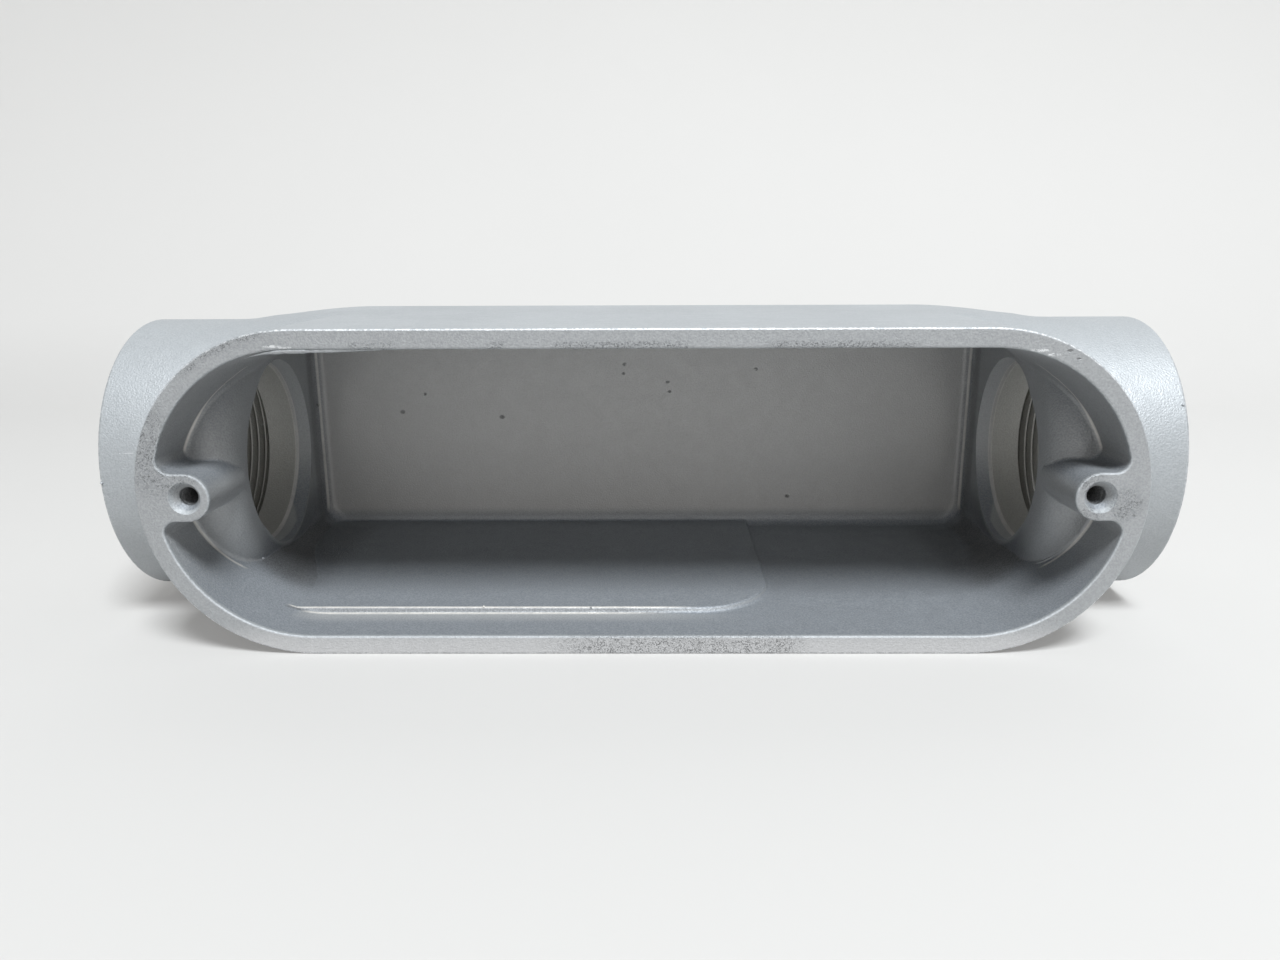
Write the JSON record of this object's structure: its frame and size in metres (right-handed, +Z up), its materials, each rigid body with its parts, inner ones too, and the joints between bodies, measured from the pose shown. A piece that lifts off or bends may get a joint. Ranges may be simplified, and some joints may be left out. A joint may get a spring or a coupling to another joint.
{
  "type": "conduit body",
  "caption": "Cast aluminium conduit body with an obround cover opening, a deep wiring chamber and an internally threaded hub at each end.",
  "frame": {"origin": "centre of the underside, on the plane that the body rests on when it lies on its long side", "axes": "+X along the conduit run to the right hub, -Y out of the cover opening, +Z up"},
  "size_m": [0.269, 0.0918, 0.0776],
  "materials": {
    "painted_casting": "satin"
  },
  "bodies": {
    "root": {"conduit_body": "painted_casting"}
  },
  "joints": []
}
